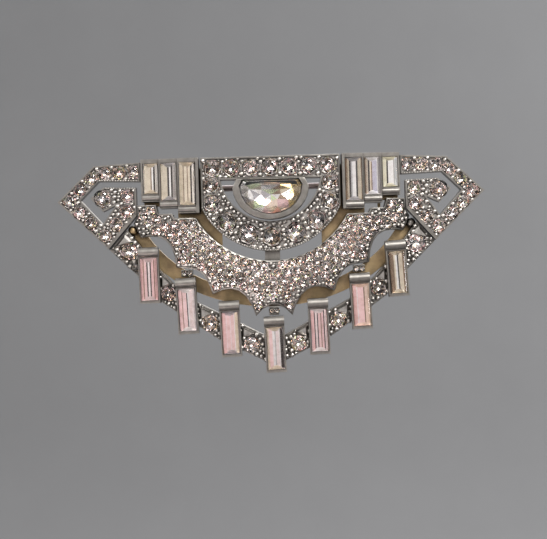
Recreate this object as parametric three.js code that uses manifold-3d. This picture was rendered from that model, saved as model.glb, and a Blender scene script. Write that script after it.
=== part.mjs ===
// A rhinestone dress brooch: a stone-set front with a half-moon centre, two key-pattern wings, a domed
// pave crescent and a fringe of seven baguettes, on brass back plates with a hinged pin and a safety
// catch that turns. Millimetres, +Z up: the brooch stands as it is worn, its face towards -Y, and the
// origin is the middle of the pin stem.
//
// Every piece is drawn face up in the plane of the brooch: x to the right, y up, z out of the face,
// with z = 0 at the back of the castings. The last group stands that drawing up.
import * as THREE from 'three';
import { mergeVertices } from 'three/addons/utils/BufferGeometryUtils.js';
import Module from 'manifold-3d';

const wasm = await Module();
wasm.setup();

// ---------------------------------------------------------------- driving dimensions

const GAP = 0.06; // between pieces that touch
const RIM = 0.28; // width of the plain metal edge round a field of stones
const BURIED = 0.12; // how far a stone goes into its bed
const BED_THICKNESS = 0.3;
const THROUGH = 6; // length of a cut that passes right through

// Heights above the back of the castings
const FRINGE_TOP = 1.9;
const WING_TOP = 2.2;
const WING_FLOOR = 1.5;
const PANEL_TOP = 2.8;
const PANEL_FLOOR = 2.1;
const CRESCENT_FLOOR = 1.2;
const CRESCENT_CREST = 3.6;

// Centre panel
const PANEL = {
  halfWidth: 11.05, top: 7.0, barBottom: 3.4,
  outerCentre: 4.18, outerRadius: 12.26,
  innerCentre: 4.75, innerRadius: 8.1,
  tabHalfWidth: 1.2, tabLow: 0.8, tabHigh: 2.0, tabRoot: 0.5,
};
const PANEL_BAR_STONES = { count: 7, pitch: 3.05, y: 5.2, radius: 1.2 };
const PANEL_U_STONES = [
  [0, -5.85, 1.4], [3.8, -5.3, 1.4], [7.15, -3.35, 1.35], [9.4, -0.35, 1.2], [9.42, 2.6, 1.13],
]; // the right half, each with its radius

// Pave crescent
const CRESCENT = {
  centre: 4.18, radius: 13.8, arcTop: -2.5, // its upper edge, an arc that starts and ends at this height
  crestRadius: 17.3, fall: 0.05, // the dome falls by this much times the distance from the crest squared
  stoneRadius: 0.74, stonePitch: 1.5, firstRow: 14.63,
  edge: 0.82, // from the outline to the middle of the nearest stone
  scanStep: 0.15, // how closely the leftover room is searched for one more stone
};
const CRESCENT_TIPS = [[15.3, -10.3], [9.7, -14.7], [2.9, -18.4]];

// Half-moon stone and its bezel: straight along the top, half an ellipse below
const HALF_MOON = {
  bezel: { halfWidth: 6.04, top: 3.34, shoulder: 2.0, bottom: -3.1 },
  stone: { halfWidth: 4.83, top: 3.0, shoulder: 2.1, bottom: -2.2 },
  cornerShare: 0.9, // where the straight top ends, over the half width
  back: 0.4, floor: 2.3, rim: 4.2, girdle: 3.9, table: 5.0, tableScale: 0.6, baseScale: 0.5,
};

// Wings, drawn for the right side
const WING_TIP = 34.0;
const WING_OUTLINE = [
  [20.75, 6.6], [28.1, 6.2], [WING_TIP, 0.6], [26.0, -7.1], [21.45, -1.9], [21.45, 2.6], [26.6, 2.78],
  [28.7, 1.07], [26.8, -1.1], [24.7, -0.1], [26.85, -3.1], [30.35, 0.8], [27.4, 3.75], [20.75, 3.55],
];
const WING_STONES = [
  [21.85, 5.1], [24.1, 5.05], [26.4, 4.95], [28.5, 4.2], [30.35, 2.4], [32.1, 0.65], [30.65, -1.15],
  [28.75, -2.95], [26.6, -4.95], [22.9, 1.3], [23.0, -1.2], [24.7, -3.25],
];
const WING_STONE_RADIUS = 1.0;
const KEY_STONE = { at: [26.85, 1.0], radius: 1.3 };
const SEAM_RAIL = { from: [21.45, -1.9], to: [26.0, -7.1], width: 0.5, low: 0.5, height: 2.6 };

// Channel boxes with three stepped baguettes each, drawn for the right side, innermost first
const CHANNEL = {
  inner: 11.35, innerWall: 0.5, top: 6.95, wall: 0.2, ledge: 6.3, capDepth: 1.2, capProud: 0.25,
};
const CHANNELS = [
  { from: 11.65, to: 14.65, centre: 13.15, width: 2.95, bottom: -1.75, height: 4.3 },
  { from: 14.65, to: 17.6, centre: 16.15, width: 2.75, bottom: -0.9, height: 3.9 },
  { from: 17.6, to: 20.5, centre: 19.0, width: 2.65, bottom: 0.25, height: 3.5 },
];
const CHANNEL_GLASS_DEPTH = 1.6;

// Fringe: a V-shaped frame that carries seven baguette settings and eight chatons
const FRINGE_OUTER = [[25.9, -7.25], [21.8, -11.2], [17.9, -15.7], [8.7, -22.1], [0, -26.4]];
const FRINGE_INNER = [[0, -22.3], [12.1, -16.0], [16.3, -12.5], [18.3, -10.2], [23.1, -4.05]];
const SETTING = {
  width: 3.2, length: 8.9, top: 4.3, wall: 0.22, rimLength: 0.42, wallDrop: 0.25,
  capLength: 1.7, capProud: 0.2, capOverhang: 0.1,
};
const SETTING_PLACES = [
  { x: -19.6, y: -11.4, lean: 1 }, { x: -13.75, y: -16.4, lean: 2.2 }, { x: -7.0, y: -20.2, lean: 1.8 },
  { x: 0, y: -22.85, lean: 1.5 }, { x: 7.0, y: -20.2, lean: 1.5 }, { x: 13.75, y: -16.4, lean: 2 },
  { x: 19.6, y: -11.4, lean: 3 },
];
const GLASS_DEPTH = 1.6;
const FRINGE_CHATONS = [[22.9, -7.55, 1.25], [16.7, -14.45, 1.05], [10.25, -19.3, 1.15], [3.7, -22.9, 1.1]];
const LINKS = [
  { x: -13.65, top: -10.7, bottom: -11.8, width: 1.8 }, { x: 0, top: -16.85, bottom: -18.3, width: 1.6 },
  { x: 13.65, top: -10.7, bottom: -11.8, width: 1.8 },
];
const LINK = { low: 1.0, high: 3.2 };
const SEAT = { floor: 0.6, cut: 3, girdleLow: 0.15, girdleHigh: 0.05, sides: 8 };

// Every baguette: shares and trims of its width and length, base and table
const STICK = { baseShare: 0.86, baseTrim: 0.4, girdleAt: 0.62, tableShare: 0.74, tableTrim: 0.9 };

// Back: the brass pieces lie between z = -PLATE.thickness and z = 0
const PLATE = {
  thickness: 1.0, inner: 8.0, outer: 20.4, top: 5.6, step: -0.4, lowOuter: 15.0, bottom: -8.2, corner: 2,
};
const STRAP = { centre: 3.2, halfWidth: 24.8, halfHeight: 20.2, width: 2.3, end: 23 };
const STRAP_THICKNESS = 0.9;

// Pin: its stem runs along x
const STEM = {
  y: 2.4, z: -3.3, radius: 0.5, reach: 19.6, point: 3.5, root: 0.7, tipRadius: 0.1, tipLength: 0.15,
};
const HINGE = {
  x: -17.2, eyeRadius: 1.05, eyeWidth: 1.5, boreRadius: 0.5, rivetRadius: 0.4, play: 0.1,
  lugThickness: 0.5, lugRadius: 1.25, lugCorner: 0.9, rivetFit: 0.03,
  footHeight: 0.45, footLength: 4.4, headRadius: 0.75, headHeight: 0.35, headOverlap: 0.01,
};
const CATCH = {
  x: 16.6, width: 1.5, outerRadius: 2.1, innerRadius: 1.6, slot: 1.4, footHalfWidth: 2.9, footHeight: 0.5,
  rotorRadius: 1.45, rotorBore: 0.75, flangeRadius: 1.95, flangeWidth: 0.4, play: 0.12,
  leverAngle: -160, leverRoot: 1.2, leverReach: 3.5, leverWidth: 0.9, thumbRadius: 0.68, thumbInset: 0.2,
  rotorSlot: 1.4, barrelOverlap: 0.1,
};

// ---------------------------------------------------------------- materials

const rhodium = new THREE.MeshStandardMaterial({ color: '#9a968c', roughness: 0.38, metalness: 1 });
const brass = new THREE.MeshStandardMaterial({ color: '#8a7250', roughness: 0.5, metalness: 1 });
const steel = new THREE.MeshStandardMaterial({ color: '#8d8b88', roughness: 0.35, metalness: 1 });
const crystal = new THREE.MeshStandardMaterial({ color: '#cdbfba', roughness: 0.08, metalness: 0 });
const pinkCrystal = new THREE.MeshStandardMaterial({ color: '#d9a9ad', roughness: 0.08, metalness: 0 });

// ---------------------------------------------------------------- shape helpers

const model = new THREE.Group();
const toRadians = THREE.MathUtils.degToRad;

function toSolid(geometry) {
  const bare = geometry.clone();
  bare.deleteAttribute('normal');
  bare.deleteAttribute('uv');
  const merged = mergeVertices(bare, 1e-4);
  return new wasm.Manifold(new wasm.Mesh({
    numProp: 3,
    vertProperties: new Float32Array(merged.attributes.position.array),
    triVerts: new Uint32Array(merged.index.array),
  }));
}

function toGeometry(solid) {
  const mesh = solid.getMesh();
  const geometry = new THREE.BufferGeometry();
  geometry.setAttribute('position', new THREE.BufferAttribute(mesh.vertProperties, 3));
  geometry.setIndex(new THREE.BufferAttribute(mesh.triVerts, 1));
  return geometry;
}

function addPiece(name, solid, material) {
  const mesh = new THREE.Mesh(toGeometry(solid), material);
  mesh.name = name;
  model.add(mesh);
  return mesh;
}

// A closed outline as anticlockwise points
function outlineOf(pairs) {
  const points = pairs.map(([x, y]) => new THREE.Vector2(x, y));
  return THREE.ShapeUtils.isClockWise(points) ? points.reverse() : points;
}

function mirrored(pairs, sign) {
  return pairs.map(([x, y, ...rest]) => [sign * x, y, ...rest]);
}

function arc(centreY, radius, fromDegrees, toDegrees, steps) {
  const pairs = [];
  for (let i = 0; i <= steps; i += 1) {
    const angle = toRadians(fromDegrees + ((toDegrees - fromDegrees) * i) / steps);
    pairs.push([radius * Math.cos(angle), centreY + radius * Math.sin(angle)]);
  }
  return pairs;
}

// Points after the first of a curve from one point to another, pulled towards a third
function sweep(from, control, to, steps = 6) {
  const curve = new THREE.QuadraticBezierCurve(
    new THREE.Vector2(...from), new THREE.Vector2(...control), new THREE.Vector2(...to),
  );
  return curve.getPoints(steps).slice(1).map((point) => [point.x, point.y]);
}

// The outline with each edge moved inwards
const SHARPEST_CORNER = 0.3;
function inset(outline, distance) {
  const count = outline.length;
  return outline.map((point, i) => {
    const before = point.clone().sub(outline[(i + count - 1) % count]).normalize();
    const after = outline[(i + 1) % count].clone().sub(point).normalize();
    const along = before.clone().add(after).normalize();
    const inward = new THREE.Vector2(-along.y, along.x);
    const share = Math.max(inward.dot(new THREE.Vector2(-before.y, before.x)), SHARPEST_CORNER);
    return point.clone().addScaledVector(inward, distance / share);
  });
}

function plate(outline, low, high, holes = []) {
  const shape = new THREE.Shape(outline);
  shape.holes = holes.map((hole) => new THREE.Path(hole));
  const geometry = new THREE.ExtrudeGeometry(shape, { depth: high - low, bevelEnabled: false });
  geometry.translate(0, 0, low);
  return toSolid(geometry);
}

function block(x0, x1, y0, y1, z0, z1) {
  const geometry = new THREE.BoxGeometry(x1 - x0, y1 - y0, z1 - z0);
  geometry.translate((x0 + x1) / 2, (y0 + y1) / 2, (z0 + z1) / 2);
  return toSolid(geometry);
}

function cylinderAlong(axis, radius, length, sides) {
  const geometry = new THREE.CylinderGeometry(radius, radius, length, sides);
  if (axis === 'x') geometry.rotateZ(Math.PI / 2);
  if (axis === 'z') geometry.rotateX(Math.PI / 2);
  return geometry;
}

// A closed body through rings of equal length, lowest first, each an outline at its own height
function stack(rings) {
  const count = rings[0].outline.length;
  const positions = rings.flatMap(({ outline, z }) => outline.flatMap((point) => [point.x, point.y, z]));
  const triangles = [];
  for (let ring = 0; ring + 1 < rings.length; ring += 1) {
    for (let i = 0; i < count; i += 1) {
      const a = ring * count + i;
      const b = ring * count + ((i + 1) % count);
      triangles.push(a, b, b + count, a, b + count, a + count);
    }
  }
  const top = (rings.length - 1) * count;
  for (let i = 1; i + 1 < count; i += 1) {
    triangles.push(0, i + 1, i);
    triangles.push(top, top + i, top + i + 1);
  }
  const geometry = new THREE.BufferGeometry();
  geometry.setAttribute('position', new THREE.Float32BufferAttribute(positions, 3));
  geometry.setIndex(triangles);
  return toSolid(geometry);
}

// The crown of a round stone, with its girdle a little way into its bed
const TABLE_SHARE = 0.58;
const CROWN_SHARE = 0.42;
const CROWN_SIDES = 6;
function crown(x, y, z, radius, normal = new THREE.Vector3(0, 0, 1)) {
  const height = CROWN_SHARE * radius;
  const geometry = new THREE.CylinderGeometry(TABLE_SHARE * radius, radius, height + BURIED, CROWN_SIDES);
  geometry.rotateX(Math.PI / 2);
  geometry.translate(0, 0, (height - BURIED) / 2);
  const turn = new THREE.Quaternion().setFromUnitVectors(new THREE.Vector3(0, 0, 1), normal);
  geometry.applyQuaternion(turn);
  geometry.translate(x, y, z);
  return toSolid(geometry);
}

// A rectangular step-cut glass baguette, centred on the origin in x and y, standing on z = 0
function baguette(width, length, depth) {
  const rectangle = (w, l) => outlineOf([[-w / 2, -l / 2], [w / 2, -l / 2], [w / 2, l / 2], [-w / 2, l / 2]]);
  return stack([
    { outline: rectangle(width * STICK.baseShare, length - STICK.baseTrim), z: 0 },
    { outline: rectangle(width, length), z: depth * STICK.girdleAt },
    { outline: rectangle(width * STICK.tableShare, length - STICK.tableTrim), z: depth },
  ]);
}

// ---------------------------------------------------------------- centre panel

const panelArcEnd = THREE.MathUtils.radToDeg(Math.acos(PANEL.halfWidth / PANEL.outerRadius));
const panelOutline = outlineOf([
  [-PANEL.halfWidth, PANEL.top],
  ...arc(PANEL.outerCentre, PANEL.outerRadius, 180 + panelArcEnd, 360 - panelArcEnd, 28),
  [PANEL.halfWidth, PANEL.top],
]);
const openingEnd = THREE.MathUtils.radToDeg(
  Math.asin((PANEL.innerCentre - PANEL.barBottom) / PANEL.innerRadius),
);
const panelOpening = outlineOf(
  arc(PANEL.innerCentre, PANEL.innerRadius, 180 + openingEnd, 360 - openingEnd, 24),
);

function panelRing(distance, low, high) {
  return plate(inset(panelOutline, distance), low, high, [inset(panelOpening, -distance)]);
}

const tab = block(
  -PANEL.tabHalfWidth, PANEL.tabHalfWidth,
  CRESCENT.centre - CRESCENT.radius + GAP, PANEL.outerCentre - PANEL.outerRadius + PANEL.tabRoot,
  PANEL.tabLow, PANEL.tabHigh,
);
const panel = panelRing(0, 0, PANEL_TOP).add(tab).subtract(panelRing(RIM, PANEL_FLOOR, PANEL_TOP + 1));
addPiece('center_panel', panel, rhodium);

const panelBedTop = PANEL_FLOOR + GAP + BED_THICKNESS;
let panelStones = panelRing(RIM + GAP, PANEL_FLOOR + GAP, panelBedTop);
for (let i = 0; i < PANEL_BAR_STONES.count; i += 1) {
  const x = (i - (PANEL_BAR_STONES.count - 1) / 2) * PANEL_BAR_STONES.pitch;
  panelStones = panelStones.add(crown(x, PANEL_BAR_STONES.y, panelBedTop, PANEL_BAR_STONES.radius));
}
for (const [x, y, radius] of PANEL_U_STONES) {
  for (const sign of x === 0 ? [1] : [-1, 1]) {
    panelStones = panelStones.add(crown(sign * x, y, panelBedTop, radius));
  }
}
addPiece('center_panel_chatons', panelStones, crystal);

// ---------------------------------------------------------------- half moon

function halfMoonOutline({ halfWidth, top, shoulder, bottom }, scale = 1) {
  const middle = (top + bottom) / 2;
  const corner = halfWidth * HALF_MOON.cornerShare;
  const steps = 20;
  const pairs = [[corner, top]];
  for (let i = 0; i <= steps; i += 1) {
    const angle = (-Math.PI * i) / steps;
    pairs.push([halfWidth * Math.cos(angle), shoulder + (shoulder - bottom) * Math.sin(angle)]);
  }
  pairs.push([-corner, top]);
  return outlineOf(pairs.map(([x, y]) => [x * scale, middle + (y - middle) * scale]));
}

const moonPocket = plate(
  inset(halfMoonOutline(HALF_MOON.stone), -GAP), HALF_MOON.floor, HALF_MOON.rim + 1,
);
const moonBezel = plate(halfMoonOutline(HALF_MOON.bezel), HALF_MOON.back, HALF_MOON.rim);
addPiece('half_moon_bezel', moonBezel.subtract(moonPocket), rhodium);
addPiece('half_moon_stone', stack([
  { outline: halfMoonOutline(HALF_MOON.stone, HALF_MOON.baseScale), z: HALF_MOON.floor + GAP },
  { outline: halfMoonOutline(HALF_MOON.stone), z: HALF_MOON.girdle },
  { outline: halfMoonOutline(HALF_MOON.stone, HALF_MOON.tableScale), z: HALF_MOON.table },
]), crystal);

// ---------------------------------------------------------------- pave crescent

const [armTip, midTip, lowTip] = CRESCENT_TIPS;
const crescentRight = [
  [15.4, -2.5], [15.75, -1.75], [17.9, -1.75], [18.3, -0.3], [21.3, -0.3], [21.3, -2.0], [22.0, -3.1],
  [20.9, -5.4],
  ...sweep([20.9, -5.4], [15.4, -4.2], armTip),
  [12.8, -10.6],
  ...sweep([12.8, -10.6], [10.6, -10.9], midTip),
  ...sweep(midTip, [4.6, -12.0], lowTip),
];
const crescentArcEnd = THREE.MathUtils.radToDeg(
  Math.asin((CRESCENT.centre - CRESCENT.arcTop) / CRESCENT.radius),
);
const crescentOutline = outlineOf([
  ...arc(CRESCENT.centre, CRESCENT.radius, 180 + crescentArcEnd, 360 - crescentArcEnd, 30),
  ...crescentRight,
  ...sweep(lowTip, [0, -14.8], [-lowTip[0], lowTip[1]], 5),
  ...mirrored(crescentRight, -1).reverse().slice(1),
]);

function domeHeight(distance) {
  return CRESCENT_CREST - CRESCENT.fall * (distance - CRESCENT.crestRadius) ** 2;
}

// The body of revolution whose top is the dome, lowered by a given amount
function domeBody(lowered) {
  const inner = 12;
  const outer = 25;
  const base = -1;
  const steps = 6;
  const profile = [new THREE.Vector2(inner, base), new THREE.Vector2(outer, base)];
  for (let i = 0; i <= steps; i += 1) {
    const distance = outer + ((inner - outer) * i) / steps;
    profile.push(new THREE.Vector2(distance, domeHeight(distance) - lowered));
  }
  profile.push(profile[0].clone());
  const geometry = new THREE.LatheGeometry(profile, 48);
  geometry.rotateX(Math.PI / 2);
  geometry.translate(0, CRESCENT.centre, 0);
  return geometry;
}

function domed(outline, lowered, low) {
  return plate(outline, low, CRESCENT_CREST + 1).intersect(toSolid(domeBody(lowered)));
}

const crescentField = inset(crescentOutline, RIM);
addPiece(
  'pave_crescent',
  domed(crescentOutline, 0, 0).subtract(plate(crescentField, CRESCENT_FLOOR, CRESCENT_CREST + 1)),
  rhodium,
);

// Distance from a point to the nearest edge of an outline, negative outside it
function depthInside(outline, point) {
  let inside = false;
  let nearest = Infinity;
  outline.forEach((a, i) => {
    const b = outline[(i + 1) % outline.length];
    const line = new THREE.Line3(new THREE.Vector3(a.x, a.y, 0), new THREE.Vector3(b.x, b.y, 0));
    const closest = line.closestPointToPoint(point, true, new THREE.Vector3());
    nearest = Math.min(nearest, closest.distanceTo(point));
    const crosses = (a.y > point.y) !== (b.y > point.y);
    if (crosses && point.x < a.x + ((point.y - a.y) * (b.x - a.x)) / (b.y - a.y)) {
      inside = !inside;
    }
  });
  return inside ? nearest : -nearest;
}

// Stone places in the plane of the brooch: a row along the upper arc, then stones nested against each other
// until the crescent is full
function pavePlaces() {
  const { firstRow, stonePitch, edge, scanStep } = CRESCENT;
  const places = [];
  const tryPlace = (x, y) => {
    const place = new THREE.Vector3(x, y, 0);
    const clear = places.every((other) => other.distanceTo(place) > stonePitch - 1e-6);
    if (clear && depthInside(crescentOutline, place) > edge) {
      places.push(place);
    }
  };
  const stepAngle = 2 * Math.asin(stonePitch / 2 / firstRow);
  for (let angle = 0; angle < Math.PI / 2; angle += stepAngle) {
    for (const x of [firstRow * Math.sin(angle), -firstRow * Math.sin(angle)]) {
      tryPlace(x, CRESCENT.centre - firstRow * Math.cos(angle));
    }
  }
  for (let i = 0; i < places.length; i += 1) {
    for (let j = 0; j < i; j += 1) {
      const half = places[j].clone().sub(places[i]).multiplyScalar(0.5);
      if (half.length() < stonePitch) {
        const middle = places[i].clone().add(half);
        const reach = Math.sqrt(stonePitch ** 2 - half.lengthSq()) / half.length();
        tryPlace(middle.x - half.y * reach, middle.y + half.x * reach);
        tryPlace(middle.x + half.y * reach, middle.y - half.x * reach);
      }
    }
  }
  const { min, max } = new THREE.Box2().setFromPoints(crescentOutline);
  for (let y = max.y; y > min.y; y -= scanStep) {
    for (let x = 0; x < max.x; x += scanStep) {
      tryPlace(x, y);
      tryPlace(-x, y);
    }
  }
  return places;
}

const bedLowered = 0.25;
const paveOutline = inset(crescentOutline, RIM + GAP);
let paveStones = domed(paveOutline, bedLowered, CRESCENT_FLOOR + GAP);
for (const place of pavePlaces()) {
  const outward = place.clone().sub(new THREE.Vector3(0, CRESCENT.centre, 0));
  const distance = outward.length();
  const slope = -2 * CRESCENT.fall * (distance - CRESCENT.crestRadius);
  const normal = outward.normalize().multiplyScalar(-slope).add(new THREE.Vector3(0, 0, 1)).normalize();
  const z = domeHeight(distance) - bedLowered;
  paveStones = paveStones.add(crown(place.x, place.y, z, CRESCENT.stoneRadius, normal));
}
addPiece('pave_chatons', paveStones.intersect(plate(paveOutline, 0, CRESCENT_CREST + 1)), crystal);

// ---------------------------------------------------------------- wings and channel boxes

function railAlong({ from, to, width, low, height }, sign) {
  const start = new THREE.Vector2(...from);
  const along = new THREE.Vector2(...to).sub(start).normalize();
  const across = new THREE.Vector2(-along.y, along.x).multiplyScalar(width);
  const end = new THREE.Vector2(...to);
  const corners = [start, end, end.clone().add(across), start.clone().add(across)];
  return plate(outlineOf(corners.map((point) => [sign * point.x, point.y])), low, height);
}

function addWing(side, sign) {
  const outline = outlineOf(mirrored(WING_OUTLINE, sign));
  const field = plate(inset(outline, RIM), WING_FLOOR, WING_TOP + 1);
  const frame = plate(outline, 0, WING_TOP).subtract(field).add(railAlong(SEAM_RAIL, sign));
  addPiece(`${side}_wing_frame`, frame, rhodium);

  const bedTop = WING_FLOOR + GAP + BED_THICKNESS;
  const bedOutline = inset(outline, RIM + GAP);
  let stones = plate(bedOutline, WING_FLOOR + GAP, bedTop);
  for (const [x, y] of mirrored(WING_STONES, sign)) {
    stones = stones.add(crown(x, y, bedTop, WING_STONE_RADIUS));
  }
  const [keyX, keyY] = KEY_STONE.at;
  stones = stones.add(crown(sign * keyX, keyY, bedTop, KEY_STONE.radius))
    .intersect(plate(bedOutline, 0, WING_TOP + 1))
    .subtract(railAlong({ ...SEAM_RAIL, width: SEAM_RAIL.width + GAP, height: WING_TOP + 1 }, sign));
  addPiece(`${side}_wing_chatons`, stones, crystal);
}

// A rounded end cap, its axis across the channel or setting
function capAcross(width, radius) {
  return toSolid(cylinderAlong('x', radius, width, 14));
}

function addChannelBox(side, sign) {
  const span = (a, b) => [Math.min(sign * a, sign * b), Math.max(sign * a, sign * b)];
  const capRadius = CHANNEL.capDepth / 2;
  const wallSpan = span(CHANNEL.inner, CHANNEL.inner + CHANNEL.innerWall);
  let box = block(...wallSpan, CHANNELS[0].bottom, CHANNEL.top, 0, CHANNELS[0].height);
  for (const { from, to, centre, width, bottom, height } of CHANNELS) {
    const cap = capAcross(width, capRadius).translate([sign * centre, bottom + capRadius, height - capRadius]);
    box = box.add(block(...span(from, to), bottom, CHANNEL.top, 0, height - CHANNEL.capProud)).add(cap);
  }
  CHANNELS.forEach(({ centre, width, bottom, height }, i) => {
    const low = bottom + CHANNEL.capDepth;
    const half = (width - CHANNEL.wall) / 2;
    const floor = height - CHANNEL_GLASS_DEPTH;
    box = box.subtract(block(...span(centre - half, centre + half), low, CHANNEL.ledge, floor, height + 1));
    const glass = baguette(2 * (half - GAP), CHANNEL.ledge - low - 2 * GAP, CHANNEL_GLASS_DEPTH);
    const place = [sign * centre, (low + CHANNEL.ledge) / 2, floor + GAP];
    addPiece(`${side}_top_baguette_${i + 1}`, glass.translate(place), crystal);
  });
  addPiece(`${side}_channel_box`, box, rhodium);
}

for (const [side, sign] of [['left', -1], ['right', 1]]) {
  addWing(side, sign);
  addChannelBox(side, sign);
}

// ---------------------------------------------------------------- fringe

const fringeHalf = [...FRINGE_OUTER, ...FRINGE_INNER];
const fringeOutline = outlineOf([
  ...fringeHalf.slice(0, FRINGE_OUTER.length),
  ...mirrored(FRINGE_OUTER, -1).reverse().slice(1),
  ...mirrored(FRINGE_INNER, -1).reverse(),
  ...FRINGE_INNER.slice(1),
]);
const chatonPlaces = [...mirrored(FRINGE_CHATONS, -1), ...mirrored(FRINGE_CHATONS, 1).reverse()];

let fringe = plate(fringeOutline, 0, FRINGE_TOP);
chatonPlaces.forEach(([x, y, radius], i) => {
  const seat = cylinderAlong('z', radius + GAP, SEAT.cut, 2 * SEAT.sides);
  seat.translate(x, y, SEAT.floor + SEAT.cut / 2);
  fringe = fringe.subtract(toSolid(seat));
  const table = FRINGE_TOP + CROWN_SHARE * radius;
  const profile = [
    [0, SEAT.floor + GAP], [radius, FRINGE_TOP - SEAT.girdleLow], [radius, FRINGE_TOP - SEAT.girdleHigh],
    [TABLE_SHARE * radius, table], [0, table],
  ];
  const stone = new THREE.LatheGeometry(profile.map(([r, z]) => new THREE.Vector2(r, z)), SEAT.sides);
  stone.rotateX(Math.PI / 2);
  addPiece(`fringe_chaton_${i + 1}`, toSolid(stone).translate([x, y, 0]), crystal);
});
addPiece('fringe_frame', fringe, rhodium);

function addSetting(number, { x, y, lean }) {
  const { width, length, top, wall, wallDrop, rimLength, capLength, capProud, capOverhang } = SETTING;
  const low = FRINGE_TOP + GAP;
  const capRadius = capLength / 2;
  const pocketTop = length / 2 - capLength;
  const pocketBottom = -length / 2 + rimLength;
  const floor = top - GLASS_DEPTH;
  const half = width / 2 - wall;
  const cap = capAcross(width, capRadius)
    .translate([0, length / 2 - capRadius, top - capRadius + capProud]);
  const tub = block(-width / 2, width / 2, -length / 2, length / 2 - capOverhang, low, top - wallDrop)
    .add(cap)
    .subtract(block(-half, half, pocketBottom, pocketTop, floor, top + 1));
  const glass = baguette(2 * (half - GAP), pocketTop - pocketBottom - 2 * GAP, GLASS_DEPTH)
    .translate([0, (pocketTop + pocketBottom) / 2, floor + GAP]);
  for (const [name, solid, material] of [
    [`fringe_setting_${number}`, tub, rhodium], [`fringe_baguette_${number}`, glass, pinkCrystal],
  ]) {
    const mesh = addPiece(name, solid, material);
    mesh.position.set(x, y, 0);
    mesh.rotation.z = toRadians(lean);
  }
}
SETTING_PLACES.forEach((place, i) => addSetting(i + 1, place));

LINKS.forEach(({ x, top, bottom, width }, i) => {
  const link = block(x - width / 2, x + width / 2, bottom, top, LINK.low, LINK.high);
  addPiece(`fringe_link_${i + 1}`, link, rhodium);
});

// ---------------------------------------------------------------- back plates and strap

function strapPairs(halfWidth, halfHeight) {
  const pairs = [];
  const steps = 30;
  for (let i = 0; i <= steps; i += 1) {
    const angle = toRadians(180 + STRAP.end + ((180 - 2 * STRAP.end) * i) / steps);
    pairs.push([halfWidth * Math.cos(angle), STRAP.centre + halfHeight * Math.sin(angle)]);
  }
  return pairs;
}
const strapOutline = outlineOf([
  ...strapPairs(STRAP.halfWidth, STRAP.halfHeight),
  ...strapPairs(STRAP.halfWidth - STRAP.width, STRAP.halfHeight - STRAP.width).reverse(),
]);
addPiece('rear_arc_strap', plate(strapOutline, -STRAP_THICKNESS, -GAP), brass);

for (const [name, sign] of [['hinge_back_plate', -1], ['catch_back_plate', 1]]) {
  const outline = outlineOf(mirrored([
    [PLATE.inner, PLATE.top], [PLATE.inner, PLATE.bottom], [PLATE.lowOuter - PLATE.corner, PLATE.bottom],
    [PLATE.lowOuter, PLATE.bottom + PLATE.corner], [PLATE.lowOuter, PLATE.step], [PLATE.outer, PLATE.step],
    [PLATE.outer, PLATE.top],
  ], sign));
  addPiece(name, plate(outline, -PLATE.thickness, -GAP), brass);
}

// ---------------------------------------------------------------- hinge and pin

const footTop = -PLATE.thickness - GAP;
const lugInner = HINGE.eyeWidth / 2 + HINGE.play;
const lugOuter = lugInner + HINGE.lugThickness;

function lug(low, high) {
  const drop = footTop - STEM.z;
  const reach = HINGE.lugRadius;
  const corner = HINGE.lugCorner;
  const half = [[reach, drop], [reach, 0], [corner, -corner], [0, -reach]];
  const side = plate(outlineOf([...half, ...mirrored(half, -1).reverse().slice(1)]), low, high);
  return side.rotate([90, 0, 0]).translate([HINGE.x, STEM.y, STEM.z]);
}

const foot = block(
  HINGE.x - HINGE.footLength / 2, HINGE.x + HINGE.footLength / 2,
  STEM.y - lugOuter, STEM.y + lugOuter, footTop - HINGE.footHeight, footTop,
);
const lugBore = toSolid(cylinderAlong('y', HINGE.rivetRadius + HINGE.rivetFit, THROUGH, 20))
  .translate([HINGE.x, STEM.y, STEM.z]);
const bracket = foot.add(lug(lugInner, lugOuter)).add(lug(-lugOuter, -lugInner)).subtract(lugBore);
addPiece('hinge_bracket', bracket, brass);

const rivetLength = 2 * (lugOuter + GAP);
const rivet = toSolid(cylinderAlong('y', HINGE.rivetRadius, rivetLength, 20));
const head = toSolid(cylinderAlong('y', HINGE.headRadius, HINGE.headHeight, 16));
const headShift = (rivetLength + HINGE.headHeight) / 2 - HINGE.headOverlap;
addPiece(
  'hinge_rivet',
  rivet.add(head.translate([0, headShift, 0])).add(head.translate([0, -headShift, 0]))
    .translate([HINGE.x, STEM.y, STEM.z]),
  steel,
);

const stemLength = STEM.reach - HINGE.x;
const stemProfile = [
  [0, STEM.root], [STEM.radius, STEM.root], [STEM.radius, stemLength - STEM.point],
  [STEM.tipRadius, stemLength - STEM.tipLength], [0, stemLength],
];
const stem = new THREE.LatheGeometry(stemProfile.map(([r, along]) => new THREE.Vector2(r, along)), 12);
stem.rotateZ(-Math.PI / 2);
const pin = toSolid(cylinderAlong('y', HINGE.eyeRadius, HINGE.eyeWidth, 24))
  .add(toSolid(stem))
  .subtract(toSolid(cylinderAlong('y', HINGE.boreRadius, THROUGH, 20)));
addPiece('pin_stem', pin.translate([HINGE.x, STEM.y, STEM.z]), steel);

// ---------------------------------------------------------------- safety catch

const catchFootTop = footTop - STEM.z;
const slotCut = (width) => block(-THROUGH / 2, THROUGH / 2, -width / 2, width / 2, -THROUGH, 0);
const catchFoot = block(
  -CATCH.width / 2, CATCH.width / 2, -CATCH.footHalfWidth, CATCH.footHalfWidth,
  catchFootTop - CATCH.footHeight, catchFootTop,
);
const catchBase = toSolid(cylinderAlong('x', CATCH.outerRadius, CATCH.width, 32))
  .add(catchFoot)
  .subtract(toSolid(cylinderAlong('x', CATCH.innerRadius, THROUGH, 32)))
  .subtract(slotCut(CATCH.slot));
addPiece('catch_base', catchBase.translate([CATCH.x, STEM.y, STEM.z]), brass);

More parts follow.
